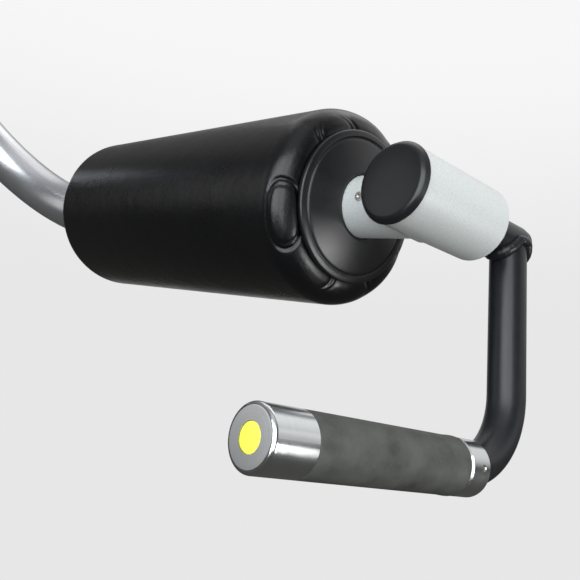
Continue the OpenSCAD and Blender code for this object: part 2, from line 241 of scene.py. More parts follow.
# %% World light
def direction_glow(tree, towards, low, high):
    """0 to 1 as a ray's direction turns towards a given direction, from cosine low to high."""
    look = tree.nodes.new("ShaderNodeTexCoord")
    dot = tree.nodes.new("ShaderNodeVectorMath")
    dot.operation = "DOT_PRODUCT"
    dot.inputs[1].default_value = Vector(towards).normalized()
    fade = tree.nodes.new("ShaderNodeMapRange")
    fade.interpolation_type = "SMOOTHSTEP"
    fade.inputs["From Min"].default_value = low
    fade.inputs["From Max"].default_value = high
    tree.links.new(look.outputs["Generated"], dot.inputs[0])
    tree.links.new(dot.outputs["Value"], fade.inputs["Value"])
    return fade.outputs["Result"]


LOBES = {
    "sweep behind": (0.62, LOOK, 0.85, 0.98),
    "lit wall behind": (0.78, Vector((0.15, 0.74, 0.65)), 0.72, 0.95),
    "door at the right": (0.60, Vector((0.75, 0.62, 0.24)), 0.95, 0.99),
    "ceiling": (0.26, UP, 0.42, 0.85),
    "ceiling at the front": (0.40, Vector((0.50, -0.42, 0.75)), 0.86, 0.97),
    "wall at the left": (0.75, Vector((-0.60, -0.76, 0.22)), 0.935, 0.985),
}
BACKDROP = 0.80                              # the even grey behind, paler towards the top
BACKDROP_TOP = 0.93
ROOM = 0.055                                 # the glow between the lobes


def make_world():
    """A dim room with the lobes in it; the background itself is an even pale grey."""
    world = bpy.data.worlds.new("studio")
    bpy.context.scene.world = world
    world.use_nodes = True
    tree = world.node_tree
    tree.nodes.clear()
    level = ROOM
    for amount, towards, low, high in LOBES.values():
        level = math_node(tree, "MULTIPLY_ADD", direction_glow(tree, towards, low, high),
                          amount, level)
    rays = tree.nodes.new("ShaderNodeLightPath")
    seen = tree.nodes.new("ShaderNodeMix")
    pale = math_node(tree, "MULTIPLY_ADD", direction_glow(tree, UP, 0.22, 0.56),
                     BACKDROP_TOP - BACKDROP, BACKDROP)
    tree.links.new(pale, seen.inputs["B"])
    tree.links.new(rays.outputs["Is Camera Ray"], seen.inputs["Factor"])
    tree.links.new(level, seen.inputs["A"])
    glow = tree.nodes.new("ShaderNodeBackground")
    out = tree.nodes.new("ShaderNodeOutputWorld")
    tree.links.new(seen.outputs["Result"], glow.inputs["Color"])
    tree.links.new(glow.outputs["Background"], out.inputs["Surface"])


make_world()
bpy.context.scene.view_settings.view_transform = "Standard"
print("lobes:", list(LOBES))

# %% [markdown]
# ## Shared surface effects
# Real finishes share the same small effects: a grain, patches that hands have polished, lines left
# by a lathe tool and bare edges where paint has rubbed off. Each effect is one node group with
# named inputs, so a material only has to say how much of it there is. The groups give masks and
# heights, and every shader stays in its own material.

# %% Node helpers
def effect_group(name, inputs, outputs):
    """A new shader node group with float inputs given as name: value, and a Vector input."""
    group = bpy.data.node_groups.new(name, "ShaderNodeTree")
    group.interface.new_socket("Vector", in_out="INPUT", socket_type="NodeSocketVector")
    for label, value in inputs.items():
        socket = group.interface.new_socket(label, in_out="INPUT", socket_type="NodeSocketFloat")
        socket.default_value = value
    for label in outputs:
        group.interface.new_socket(label, in_out="OUTPUT", socket_type="NodeSocketFloat")
    return group, group.nodes.new("NodeGroupInput"), group.nodes.new("NodeGroupOutput")


def noise_node(tree, vector, scale, detail=3.0, roughness=0.55):
    """A noise texture's value, between about 0.2 and 0.8."""
    node = tree.nodes.new("ShaderNodeTexNoise")
    node.inputs["Detail"].default_value = detail
    node.inputs["Roughness"].default_value = roughness
    tree.links.new(vector, node.inputs["Vector"])
    if isinstance(scale, (int, float)):
        node.inputs["Scale"].default_value = scale
    else:
        tree.links.new(scale, node.inputs["Scale"])
    return node.outputs["Fac"]


# %% [markdown]
# ## The four effects
# Grain is a cell texture, because a moulded skin is a net of small pebbles. Handling marks are two
# sizes of noise. Lathe lines use noise of the radius, so they run in rings. Worn edges compare the
# true normal with a rounded one: where they differ there's an edge.

# %% Grain, handling marks, lathe lines and worn edges
def make_grain():
    """Pebbles of a moulded skin: the gaps between cells, softened with noise."""
    group, start, end = effect_group("moulded_grain", {"Scale": 1.0, "Softness": 0.5}, ["Height"])
    cells = group.nodes.new("ShaderNodeTexVoronoi")
    cells.feature = "SMOOTH_F1"
    group.links.new(start.outputs["Vector"], cells.inputs["Vector"])
    group.links.new(start.outputs["Scale"], cells.inputs["Scale"])
    group.links.new(start.outputs["Softness"], cells.inputs["Smoothness"])
    fine = math_node(group, "MULTIPLY", noise_node(group, start.outputs["Vector"],
                     math_node(group, "MULTIPLY", start.outputs["Scale"], 2.3)), 0.6)
    height = math_node(group, "SUBTRACT", fine, cells.outputs["Distance"])
    group.links.new(height, end.inputs["Height"])
    return group


def make_handling():
    """Cloudy patches where hands and cleaning have changed the gloss, plus fine specks."""
    group, start, end = effect_group("handling_marks", {"Scale": 0.02, "Base": 0.4, "Spread": 0.1},
                                     ["Roughness", "Mask"])
    vector = start.outputs["Vector"]
    cloud = noise_node(group, vector, start.outputs["Scale"], 5.0, 0.6)
    speck = noise_node(group, vector, math_node(group, "MULTIPLY", start.outputs["Scale"], 17.0))
    both = math_node(group, "ADD", math_node(group, "MULTIPLY", cloud, 0.7),
                     math_node(group, "MULTIPLY", speck, 0.3))
    mask = math_node(group, "MULTIPLY_ADD", both, 3.0, -1.0, clamp=True)
    offset = math_node(group, "MULTIPLY", math_node(group, "SUBTRACT", mask, 0.5),
                       start.outputs["Spread"])
    group.links.new(math_node(group, "ADD", start.outputs["Base"], offset, clamp=True),
                    end.inputs["Roughness"])
    group.links.new(mask, end.inputs["Mask"])
    return group


def make_lathe():
    """Rings that a lathe tool leaves: noise of the radius and of the place along the axis."""
    group, start, end = effect_group("lathe_lines_and_groove_shade", {"Pitch": 3.0}, ["Height", "Mask"])
    split = group.nodes.new("ShaderNodeSeparateXYZ")
    group.links.new(start.outputs["Vector"], split.inputs[0])
    radius = math_node(group, "SQRT", math_node(
        group, "ADD", math_node(group, "POWER", split.outputs["X"], 2.0),
        math_node(group, "POWER", split.outputs["Y"], 2.0)))
    join = group.nodes.new("ShaderNodeCombineXYZ")
    group.links.new(radius, join.inputs["X"])
    group.links.new(split.outputs["Z"], join.inputs["Y"])
    lines = noise_node(group, join.outputs[0], start.outputs["Pitch"], 4.0, 0.7)
    group.links.new(lines, end.inputs["Height"])
    # the mask picks the rings that are painted darker, as painted shade in the tool grooves
    group.links.new(math_node(group, "MULTIPLY_ADD", lines, 3.0, -1.0, clamp=True),
                    end.inputs["Mask"])
    return group


def make_wear():
    """A mask of rubbed edges: where a rounded normal leaves the true one, broken up by noise."""
    group, start, end = effect_group("edge_wear", {"Width": 0.0008, "Scale": 0.3, "Amount": 0.5},
                                     ["Mask"])
    bevel = group.nodes.new("ShaderNodeBevel")
    bevel.samples = 4
    group.links.new(start.outputs["Width"], bevel.inputs["Radius"])
    shape = group.nodes.new("ShaderNodeNewGeometry")
    dot = group.nodes.new("ShaderNodeVectorMath")
    dot.operation = "DOT_PRODUCT"
    group.links.new(bevel.outputs["Normal"], dot.inputs[0])
    group.links.new(shape.outputs["Normal"], dot.inputs[1])
    edge = math_node(group, "MULTIPLY", math_node(group, "SUBTRACT", 1.0, dot.outputs["Value"]), 9.0)
    broken = math_node(group, "MULTIPLY_ADD",
                       noise_node(group, start.outputs["Vector"], start.outputs["Scale"]), 3.0, -1.1)
    worn = math_node(group, "MULTIPLY", edge, broken, clamp=True)
    group.links.new(math_node(group, "MULTIPLY", worn, start.outputs["Amount"], clamp=True),
                    end.inputs["Mask"])
    return group


grain, handling, lathe, wear = make_grain(), make_handling(), make_lathe(), make_wear()
print("shared effects:", [group.name for group in (grain, handling, lathe, wear)])

# %% [markdown]
# ## A recipe for every finish
# All the finishes are layered the same way: a base colour that drifts a little towards a second
# one, a gloss broken by handling marks, a fine relief, and bare or dusty edges. One recipe builds
# that chain, and each finish below is a few values in it. Object coordinates are turned into the
# part's own axes in millimetres first, so a scale of 1 means one cell for each millimetre.

# %% The recipe
class Finish:
    """One material in the making: its node tree, its shader and its local coordinates."""

    def __init__(self, name, colour, roughness, metallic=0.0, place=on_pivot):
        self.material = bpy.data.materials.new(name)
        self.material.use_nodes = True
        self.tree = self.material.node_tree
        self.shader = self.tree.nodes["Principled BSDF"]
        self.colour = (*colour, 1)
        self.shader.inputs["Base Color"].default_value = self.colour
        self.shader.inputs["Roughness"].default_value = roughness
        self.shader.inputs["Metallic"].default_value = metallic
        self.roughness = roughness
        self.vector = self.local_vector(place)

    def local_vector(self, place):
        """Object coordinates turned into a part's own axes, in millimetres."""
        coordinates = self.tree.nodes.new("ShaderNodeTexCoord")
        mapping = self.tree.nodes.new("ShaderNodeMapping")
        shift, turned, scale = place.inverted().decompose()
        mapping.inputs["Location"].default_value = shift
        mapping.inputs["Rotation"].default_value = turned.to_euler()
        mapping.inputs["Scale"].default_value = scale
        self.tree.links.new(coordinates.outputs["Object"], mapping.inputs["Vector"])
        return mapping.outputs["Vector"]

    def effect(self, group, **values):
        """Puts a shared effect in the tree and sets its values."""
        node = self.tree.nodes.new("ShaderNodeGroup")
        node.node_tree = group
        self.tree.links.new(self.vector, node.inputs["Vector"])
        for label, value in values.items():
            node.inputs[label].default_value = value
        return node

    def tint(self, mask, colour):
        """Mixes the base colour so far towards another one where the mask is high."""
        mix = self.tree.nodes.new("ShaderNodeMix")
        mix.data_type = "RGBA"
        old = self.shader.inputs["Base Color"]
        if old.links:
            self.tree.links.new(old.links[0].from_socket, mix.inputs[6])
        else:
            mix.inputs[6].default_value = self.colour
        mix.inputs[7].default_value = (*colour, 1)
        self.tree.links.new(mask, mix.inputs["Factor"])
        self.tree.links.new(mix.outputs[2], old)

    def gloss(self, scale, spread):
        """Breaks the gloss with handling marks, and returns their mask."""
        marks = self.effect(handling, Scale=scale, Base=self.roughness, Spread=spread)
        self.tree.links.new(marks.outputs["Roughness"], self.shader.inputs["Roughness"])
        return marks.outputs["Mask"]

    def relief(self, height, depth):
        """Adds a bump of a real depth, in metres, on top of any bump so far."""
        bump = self.tree.nodes.new("ShaderNodeBump")
        bump.inputs["Distance"].default_value = depth
        bump.inputs["Strength"].default_value = 1.0
        normal = self.shader.inputs["Normal"]
        if normal.links:
            self.tree.links.new(normal.links[0].from_socket, bump.inputs["Normal"])
        self.tree.links.new(height, bump.inputs["Height"])
        self.tree.links.new(bump.outputs["Normal"], normal)

    def worn(self, colour, width, scale, amount):
        """Shows another colour along rubbed edges."""
        mask = self.effect(wear, Width=width, Scale=scale, Amount=amount).outputs["Mask"]
        self.tint(mask, colour)


print("steps of a finish:", [step for step in vars(Finish) if not step.startswith("_")])

# %% [markdown]
# ## The finishes
# Silver paint is tiny metal flakes in a clear binder, so it is part metal and a little mottled. The
# black parts differ mostly in gloss: moulded plastic is shiny, wet paint on a tube shows a slight
# orange peel, vinyl has a fine pebble grain and rubber is dull. The end cap is turned aluminium,
# which shows its tool lines best where the light grazes them.

# %% Painted metal
def silver_paint(name, colour, roughness, metallic, place):
    """Silver paint with cloudy gloss, a slight orange peel and a fine grain of flakes."""
    finish = Finish(name, colour, roughness, metallic, place)
    cloud = finish.gloss(0.03, 0.08)
    finish.tint(math_node(finish.tree, "MULTIPLY", cloud, 0.10), tuple(0.9 * part for part in colour))
    finish.relief(noise_node(finish.tree, finish.vector, 0.30, 2.0), 0.00003)
    flakes = noise_node(finish.tree, finish.vector, 0.8, 3.0, 0.7)
    finish.tint(math_node(finish.tree, "MULTIPLY_ADD", flakes, 1.6, -0.62, clamp=True),
                tuple(0.66 * part for part in colour))
    return finish.material


def black_gloss_paint():
    """Black paint with a dusty drift of grey."""
    finish = Finish("black_tube_paint", (0.0080, 0.0085, 0.0108), 0.36)
    finish.shader.inputs["Specular IOR Level"].default_value = 0.42
    dust = finish.gloss(0.025, 0.10)
    finish.tint(math_node(finish.tree, "MULTIPLY", dust, 0.25), (0.024, 0.025, 0.029))
    finish.relief(noise_node(finish.tree, finish.vector, 0.25, 2.0), 0.00004)
    return finish.material


arm_silver = silver_paint("silver_arm_paint", (0.68, 0.69, 0.715), 0.31, 0.93, on_roller)
satin_silver = silver_paint("satin_silver_paint", (0.665, 0.690, 0.675), 0.42, 0.12, on_pivot)
tube_black = black_gloss_paint()
print("painted:", arm_silver.name, satin_silver.name, tube_black.name)

# %% [markdown]
# ## Plastics, vinyl and rubber
# These are coloured right through, so only dust, rubbing and the mould's texture change them. The
# rubber has pale clouds where sweat and dust have dried on it, and its gloss is low, so the tints
# do most of the work.

# %% Plastics, vinyl and rubber
def black_moulding():
    """Shiny moulded plastic, a little paler on its rubbed edges."""
    finish = Finish("black_moulded_plastic", (0.0075, 0.0075, 0.0085), 0.31, place=on_roller)
    dust = finish.gloss(0.04, 0.06)
    finish.tint(math_node(finish.tree, "MULTIPLY", dust, 0.3), (0.014, 0.0145, 0.016))
    finish.relief(finish.effect(grain, Scale=1.6).outputs["Height"], 0.000008)
    finish.worn((0.035, 0.035, 0.038), 0.0006, 0.5, 0.25)
    return finish.material


def stuffed_vinyl():
    """Coated cloth with a pebble grain and a slow unevenness from the foam."""
    finish = Finish("black_vinyl", (0.0024, 0.0025, 0.0031), 0.30, place=on_roller)
    finish.shader.inputs["Specular IOR Level"].default_value = 0.42
    dust = finish.gloss(0.016, 0.10)
    finish.tint(math_node(finish.tree, "MULTIPLY", dust, 0.5), (0.0048, 0.0048, 0.0053))
    finish.relief(finish.effect(grain, Scale=0.9).outputs["Height"], 0.00004)
    finish.relief(noise_node(finish.tree, finish.vector, 0.05, 3.0), 0.0005)
    return finish.material


def dull_rubber():
    """Grey-black rubber with scuffs and pale clouds."""
    finish = Finish("grey_black_rubber", (0.043, 0.0435, 0.039), 0.58, place=on_grip)
    finish.shader.inputs["Specular IOR Level"].default_value = 0.22
    scuffs = finish.gloss(0.045, 0.20)
    finish.tint(math_node(finish.tree, "MULTIPLY", scuffs, 0.6), (0.110, 0.111, 0.106))
    clouds = noise_node(finish.tree, finish.vector, 0.055, 4.0, 0.62)
    cloudy = math_node(finish.tree, "MULTIPLY_ADD", clouds, 2.6, -0.90, clamp=True)
    finish.tint(cloudy, (0.098, 0.101, 0.090))
    finish.relief(finish.effect(grain, Scale=1.1, Softness=0.8).outputs["Height"], 0.00005)
    return finish.material


def plain_plastic(name, colour, roughness, place):
    """Plastic with a faint drift of its own colour."""
    finish = Finish(name, colour, roughness, place=place)
    marks = finish.gloss(0.06, 0.12)
    finish.tint(math_node(finish.tree, "MULTIPLY", marks, 0.1), tuple(0.8 * part for part in colour))
    finish.relief(finish.effect(grain, Scale=1.4).outputs["Height"], 0.00002)
    return finish.material


plastic_black = black_moulding()
vinyl_black = stuffed_vinyl()
rubber_grey = dull_rubber()
bush_white = plain_plastic("ivory_acetal", (0.72, 0.70, 0.62), 0.35, on_roller)
core_grey = plain_plastic("grey_core_tube", (0.20, 0.20, 0.21), 0.45, on_roller)
disc_yellow = plain_plastic("yellow_disc_plastic", (1.0, 0.97, 0.10), 0.42, on_grip)
foam_tan = plain_plastic("foam", (0.55, 0.45, 0.30), 0.95, on_roller)
print("coloured through:", plastic_black.name, vinyl_black.name, rubber_grey.name)

# %% [markdown]
# ## Bare metals
# The end cap and the collar are turned aluminium, the fasteners are zinc plated and the bearings
# are ground steel. All are full metal with lathe lines at a different pitch.

# %% Bare metals
def turned_metal(name, colour, roughness, place, pitch=2.6):
    """Bare metal with lathe lines, whose rings are painted a little darker as painted shade in the
    grooves.
    """
    finish = Finish(name, colour, roughness, 1.0, place)
    finish.gloss(0.05, 0.08)
    lines = finish.effect(lathe, Pitch=pitch)
    # painted shade: the rings of the lathe mask are darkened to stand in for shade in the grooves
    finish.tint(math_node(finish.tree, "MULTIPLY", lines.outputs["Mask"], 0.35),
                tuple(0.72 * part for part in colour))
    finish.relief(lines.outputs["Height"], 0.0000025)
    return finish.material


turned_aluminium = turned_metal("turned_aluminium", (0.72, 0.74, 0.75), 0.21, on_grip)
bright_zinc = turned_metal("bright_zinc", (0.70, 0.69, 0.64), 0.26, on_pivot, 1.2)
bearing_steel = turned_metal("ground_steel", (0.48, 0.48, 0.50), 0.28, on_pivot, 1.8)
print("finishes:", len(bpy.data.materials))

# %% [markdown]
# ## Finishes on the frame's parts
# Every part that comes from the frame names the slot of its finish in the record, so the new
# materials are handed out by that name. The parts keep their meshes: only the slots change.

# %% Hand out the finishes
finish_of_slot = {
    "arm_paint": arm_silver, "satin_paint": satin_silver, "black_paint": tube_black,
    "black_plastic": plastic_black, "vinyl": vinyl_black, "foam": foam_tan,
    "core_plastic": core_grey, "bush_plastic": bush_white, "black_rubber": rubber_grey,
    "turned_aluminium": turned_aluminium, "bright_steel": bright_zinc,
    "bearing_steel": bearing_steel, "yellow_plastic": disc_yellow,
}
for part in nodes.values():
    for slot in part.material_slots:
        slot.material = finish_of_slot[slot.material.name.split(".")[0]]
print("parts with a finish:", sum(bool(part.material_slots) for part in nodes.values()))

# %% [markdown]
# ## Helpers for turned and placed pieces
# Most new pieces are turned: an outline of radius and height is spun round local Z, which is what a
# lathe or a round mould does. The ends that meet the axis close by themselves once their doubles
# are merged, and the normals are put right after that.

# %% Turning and placing
def turned(outline, steps, closed=True):
    """Spins an outline of (radius, height) round local Z into a bmesh."""
    bm = bmesh.new()
    points = [bm.verts.new((radius, 0, height)) for radius, height in outline]
    ends = points[1:] + points[:1] if closed else points[1:]
    lines = [bm.edges.new(pair) for pair in zip(points, ends)]
    bmesh.ops.spin(bm, geom=points + lines, axis=(0, 0, 1), cent=(0, 0, 0), angle=2 * pi,
                   steps=steps, use_merge=True)
    bmesh.ops.remove_doubles(bm, verts=bm.verts, dist=0.0005)
    bmesh.ops.recalc_face_normals(bm, faces=bm.faces)
    return bm


def arc(centre, radius, start, stop, steps):
    """Points of an arc in an outline; angles in degrees from the outward direction."""
    turns = [radians(start + (stop - start) * i / steps) for i in range(steps + 1)]
    return [(centre[0] + radius * cos(turn), centre[1] + radius * sin(turn)) for turn in turns]


def settle(bm, name, place, body, material):
    """Turns a bmesh into a placed, smooth piece that rides on a body."""
    mesh = bpy.data.meshes.new(name)
    bm.to_mesh(mesh)
    bm.free()
    mesh.transform(place)
    mesh.shade_smooth()
    mesh.materials.append(material)
    piece = bpy.data.objects.new(name, mesh)
    bpy.context.collection.objects.link(piece)
    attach(piece, body)
    print(f"{name}: {len(mesh.polygons)} faces")
    return piece


# %% [markdown]
# ## The roller's cover
# The roller is a foam log in a sleeve of black vinyl. At each end the sleeve is gathered into tucks
# and trapped under a moulded flange, so the shoulder swells into pillows between the tucks. The
# barrel stays smooth because it is stretched. A spun outline gives an even grid to start from, a
# little smaller than the finished roller; cloth simulation then blows it up against the points that
# the real one is held at, and the narrow folds of the tucks are pressed in last, where the grid is
# finest.

# %% Where the tucks are
SHOULDER = {"near": 21.0, "far": 18.0}
TUCKS = {
    "near": (-176.5, -131.0, -92.0, -50.5, -15.5, 23.0, 64.0, 105.0, 146.0),
    "far": (-160.0, -118.0, -79.0, -38.0, 4.0, 42.0, 80.0, 121.0, 161.0),
}
PANEL = 1                                    # the pillow that is sewn as a panel of its own
SWELL = {"near": (1.2, 3.0, 1.4, 1.2, 1.0, 1.3, 1.2, 1.3, 1.2), "far": (1.0,) * 9}
flange_r = reach("near_flange", on_roller)[2]
bore_r = reach("roller_core", on_roller)[2]
PANEL_EDGES = TUCKS["near"][PANEL:PANEL + 2]
print("tucks at each end:", len(TUCKS["near"]), " flange radius:", round(flange_r, 1), "mm")

# %% [markdown]
# ## The shape before the air goes in
# The grid is a spun outline with its finest rings at the shoulders, where the folds will be. Each
# point knows how far it is from the flange's rim along the skin and which two tucks it lies
# between, so the swell of a pillow is one short formula.

# %% The log before it is blown up
def log_outline(shrink):
    """The closed outline of the log: near face, shoulder, barrel, shoulder, far face, bore."""
    radius = cover_r - shrink
    start, end = cover_start + shrink / 2, cover_end - shrink / 2
    near, far = SHOULDER["near"], SHOULDER["far"]
    face = [(bore_r + (radius - near - bore_r) * i / 7, start) for i in range(7)]
    shoulder = arc((radius - near, start + near), near, -90, 0, 14)
    first = [(radius, start + near + 3 * i) for i in range(1, 7)]
    length = end - far - first[-1][1]
    barrel = [(radius, first[-1][1] + length * i / 33) for i in range(1, 33)]
    far_shoulder = arc((radius - far, end - far), far, 0, 90, 10)
    far_face = [(radius - far - (radius - far - bore_r) * i / 6, end) for i in range(1, 7)]
    bore = [(bore_r, end - (end - start) * i / 8) for i in range(1, 8)]
    return face + shoulder + first + barrel + far_shoulder + far_face + bore


def end_of(point):
    """Which end a point of the log belongs to, its distance along the skin from the flange's
    rim, and its angle round the axis in degrees from the top."""
    middle_z = (cover_start + cover_end) / 2
    end = "near" if point.z < middle_z else "far"
    depth = point.z - cover_start if end == "near" else cover_end - point.z
    shoulder = SHOULDER[end]
    radius = point.xy.length
    corner = cover_r - shoulder
    if depth >= shoulder:
        along = corner + shoulder * pi / 2 + depth - shoulder
    elif radius <= corner:
        along = radius
    else:
        along = corner + shoulder * atan2(radius - corner, shoulder - depth)
    return end, along - flange_r, degrees(atan2(point.y, point.x))


def gap_to_tuck(end, angle):
    """The tucks on both sides of an angle, and the pillow's number between them."""
    marks = TUCKS[end]
    for number, (low, high) in enumerate(zip(marks, marks[1:] + (marks[0] + 360,))):
        if low <= angle < high:
            return number, low, high
        if low <= angle + 360 < high:
            return number, low - 360, high - 360
    return 0, marks[0], marks[1]


def panel_size(along, across):
    """1 on the rounded outline of the sewn panel, less inside it."""
    return (abs(across) ** 2.8 + abs((along - 12) / 14) ** 2.8) ** (1 / 2.8)


def pillow(end, along, angle):
    """How far the skin swells between two tucks, 0 at a tuck and on the barrel, in mm."""
    number, low, high = gap_to_tuck(end, angle)
    across = 2 * (angle - low) / (high - low) - 1
    if end == "near" and number == PANEL:
        return SWELL[end][number] * max(1 - panel_size(along, across) ** 4, 0) ** 0.5
    out = (along - 9) / 19
    return SWELL[end][number] * max(1 - across ** 2, 0) * max(1 - out ** 2, 0)


print("pillows:", len(SWELL["near"]), "near,", len(SWELL["far"]), "far")

# %% [markdown]
# ## Blow it up
# Air pressure on cloth gives the soft, uneven fullness of a stuffed skin. The points under the
# flange are held fully and those in the tucks nearly so. The cap keeps the skin in the size of the
# frame's cover, and the result is written into the mesh, so nothing is left to simulate.

# %% Blow it up
SHRINK = 2.2                                 # the log is this much smaller than the cover, in mm
ROUND_STEPS = 220
GRID_TURN = 0.4                              # turns the grid a little, in degrees
SAG = 1.0                                    # the skin pulled in over the shoulder, in mm
TUCK_HOLD = 1.5                              # half the held width of a tuck, in degrees
PRESSURE = 4.0
MOST_MOVE = 0.004                            # in metres


def simulate(piece, held, pressure, cap):
    """Runs cloth with air pressure, holds some points, and caps how far any point has moved."""
    group = piece.vertex_groups.new(name="held")
    for index, weight in held:
        group.add([index], weight, "REPLACE")
    cloth = piece.modifiers.new("air", "CLOTH")
    cloth.settings.vertex_group_mass = "held"
    cloth.settings.use_pressure = True
    cloth.settings.uniform_pressure_force = pressure
    cloth.settings.effector_weights.gravity = 0
    cloth.settings.tension_stiffness = 20
    cloth.settings.compression_stiffness = 20
    cloth.settings.bending_stiffness = 0.8
    for step in range(1, 21):
        bpy.context.scene.frame_set(step)
    shown = piece.evaluated_get(bpy.context.evaluated_depsgraph_get())
    blown = [vertex.co.copy() for vertex in shown.data.vertices]
    piece.modifiers.clear()
    piece.vertex_groups.clear()
    bpy.context.scene.frame_set(1)
    moved = 0
    for vertex, target in zip(piece.data.vertices, blown):
        step = target - vertex.co
        if step.length > cap:
            step *= cap / step.length
        moved = max(moved, step.length)
        vertex.co += step
    print(f"the air moved the skin by up to {moved / MM:.1f} mm")


def make_cover():
    bm = turned(log_outline(SHRINK), ROUND_STEPS)
    twist = Matrix.Rotation(GRID_TURN * pi / 180, 3, "Z")
    bmesh.ops.rotate(bm, verts=bm.verts, cent=(0, 0, 0), matrix=twist)
    for vertex, normal in [(v, v.normal.copy()) for v in bm.verts]:
        end, along, angle = end_of(vertex.co)
        if along > -3:
            sag = SAG * max(0, 1 - abs(along - 9) / 19)
            vertex.co += normal * (pillow(end, along, angle) - sag)
    held = []
    for vertex in bm.verts:
        end, along, angle = end_of(vertex.co)
        low, high = gap_to_tuck(end, angle)[1:]
        off = min(angle - low, high - angle)
        if along < -2:
            held.append((vertex.index, 1.0))
        elif along < 20 and off < TUCK_HOLD:
            held.append((vertex.index, 0.9))
    cover = settle(bm, "roller_cushion", on_roller, "roller", vinyl_black)
    simulate(cover, held, PRESSURE, MOST_MOVE)
    return cover


cushion = make_cover()

# %% [markdown]
# ## Press in the tucks and the seam
# A pleat is narrower than the grid that the cloth needs, so it's pressed in afterwards on a finer
# one. Its section is a valley, the lip of the fold and a second, shallower valley. Real pleats
# lean one way or the other as they run out, so some of them do. The sewn panel gets the same
# section round its outline, and the closing seam is a plain narrow valley on the hidden side.

# %% Press in the tucks and the seam
SEAM_ANGLE = 64.0
SEAM_DEPTH = 0.9
SHORT_TUCK = 15.0                            # how far a tuck runs from the flange's rim, in mm
TUCK_DEPTH = 0.8
LEAN = {-50.5: 8.0, -15.5: -9.0, -176.5: 7.0, 146.0: -8.0, 23.0: 9.0}


def fold(across, depth):
    """A pleat's section: a valley, the lip of the fold, and a second, shallower valley."""
    valley = exp(-((across - 1.9) / 1.3) ** 2) + 0.5 * exp(-((across + 2.2) / 1.5) ** 2)
    return depth * (0.55 * exp(-(across / 1.1) ** 2) - valley)


def pressed(point):
    """How far a point moves along its normal for the tucks and the lengthwise seam, in mm."""
    end, along, angle = end_of(point)
    if along < -6:
        return 0.0
    low, high = gap_to_tuck(end, angle)[1:]
    total = 0.0
    for mark in (low, high):
        name = round((mark + 180) % 360 - 180, 1)
        if end == "near" and name in PANEL_EDGES:
            continue
        centre = mark + LEAN.get(name, 3.0) * max(0, along / SHORT_TUCK) ** 2
        fade = min(1, max(0, (SHORT_TUCK - along) / 9))
        total += fold(0.7 * radians(angle - centre) * point.xy.length, TUCK_DEPTH) * fade
    if end == "near":
        low, high = PANEL_EDGES
        across = 2 * (angle - low) / (high - low) - 1
        size = panel_size(along, across)
        if size < 1.6:
            ends = min(1, abs(across)) ** 3
            total += fold((size - 1) * 21, 0.35 + 1.5 * ends)
    if along > 12:
        seam = radians(angle - SEAM_ANGLE) * point.xy.length
        total -= SEAM_DEPTH * exp(-(seam / 1.1) ** 2)
    return total


def press_tucks(piece):
    """Halves the grid and moves each point by what the tucks and seams ask for."""
    bpy.context.view_layer.update()
    bm = bmesh.new()
    bm.from_mesh(piece.data)
    bmesh.ops.transform(bm, matrix=on_roller.inverted(), verts=bm.verts)
    bmesh.ops.subdivide_edges(bm, edges=bm.edges, cuts=1, use_grid_fill=True, smooth=0.9)
    bm.normal_update()
    moves = [(vertex, vertex.normal * pressed(vertex.co)) for vertex in bm.verts]
    for vertex, move in moves:
        vertex.co += move
    bmesh.ops.transform(bm, matrix=on_roller, verts=bm.verts)
    bm.normal_update()
    bm.to_mesh(piece.data)
    bm.free()
    piece.data.shade_smooth()
    print("cushion faces after the tucks:", len(piece.data.polygons))


press_tucks(cushion)
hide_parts("roller_cover", "roller_foam")

# %% [markdown]
# ## The moulded flange at the roller's near end
# The flange is injection moulded: a rounded rim band, a fine groove, and a face that rises to the
# hub in a shallow curve, which makes the light on it fade from the rim inwards. One outline spun
# round the roller's axis gives all of it, with its back ring, so the groove is real geometry.

# %% Near flange
SPIGOT_R = 25.5
HUB_GAP = 0.8
hub_r = SPIGOT_R + HUB_GAP
HUB_RISE, RIM_BAND, WEB = 11.8, 6.0, 3.0


def flange_outline():
    """Rim band, groove, curved face, hub bore, back of the web, press ring and back face."""
    inner = flange_r - RIM_BAND - 0.8
    rim = [(flange_r, -0.6), (flange_r, -2.6)] + arc((flange_r - 1.8, -2.6), 1.8, 0, -72, 5)
    rim += [(flange_r - RIM_BAND + 0.9, -5.4)]
    rim += arc((flange_r - RIM_BAND + 0.8, -4.7), 0.7, -100, -175, 4)
    groove = [(inner + 0.35, -4.0), (inner, -4.55)]
    width = inner - hub_r
    face = []
    for i in range(1, 15):
        part = 1 - i / 14
        face.append((hub_r + width * part, -HUB_RISE + (HUB_RISE - 4.9) * (0.72 + 0.28 * part) * part))
    ring_r = bore_r - 3.0
    back = [(hub_r, WEB - HUB_RISE), (ring_r - 1.8, WEB - HUB_RISE + 1), (ring_r - 1.8, 7.5),
            (ring_r, 7.5), (ring_r, 0.0), (flange_r - 3, 0.0)]
    return [(radius, cover_start + height) for radius, height in rim + groove + face + back]


near_flange = settle(turned(flange_outline(), 160), "end_flange", on_roller, "roller",
                     plastic_black)
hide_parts("near_flange")

# %% [markdown]
# ## The domed plug of the cross tube
# The plug is pressed into the cross tube. Its face is a shallow dome that turns over at a soft
# ridge into a rounded skirt, and that ridge draws the bright arc. It is turned in one outline.

# %% End plug
plug_high, plug_r = reach("end_plug", on_pivot)[1:]
DOME, BLEND, STEEP, SKIRT = 1.2, 5.0, 60, 1.4


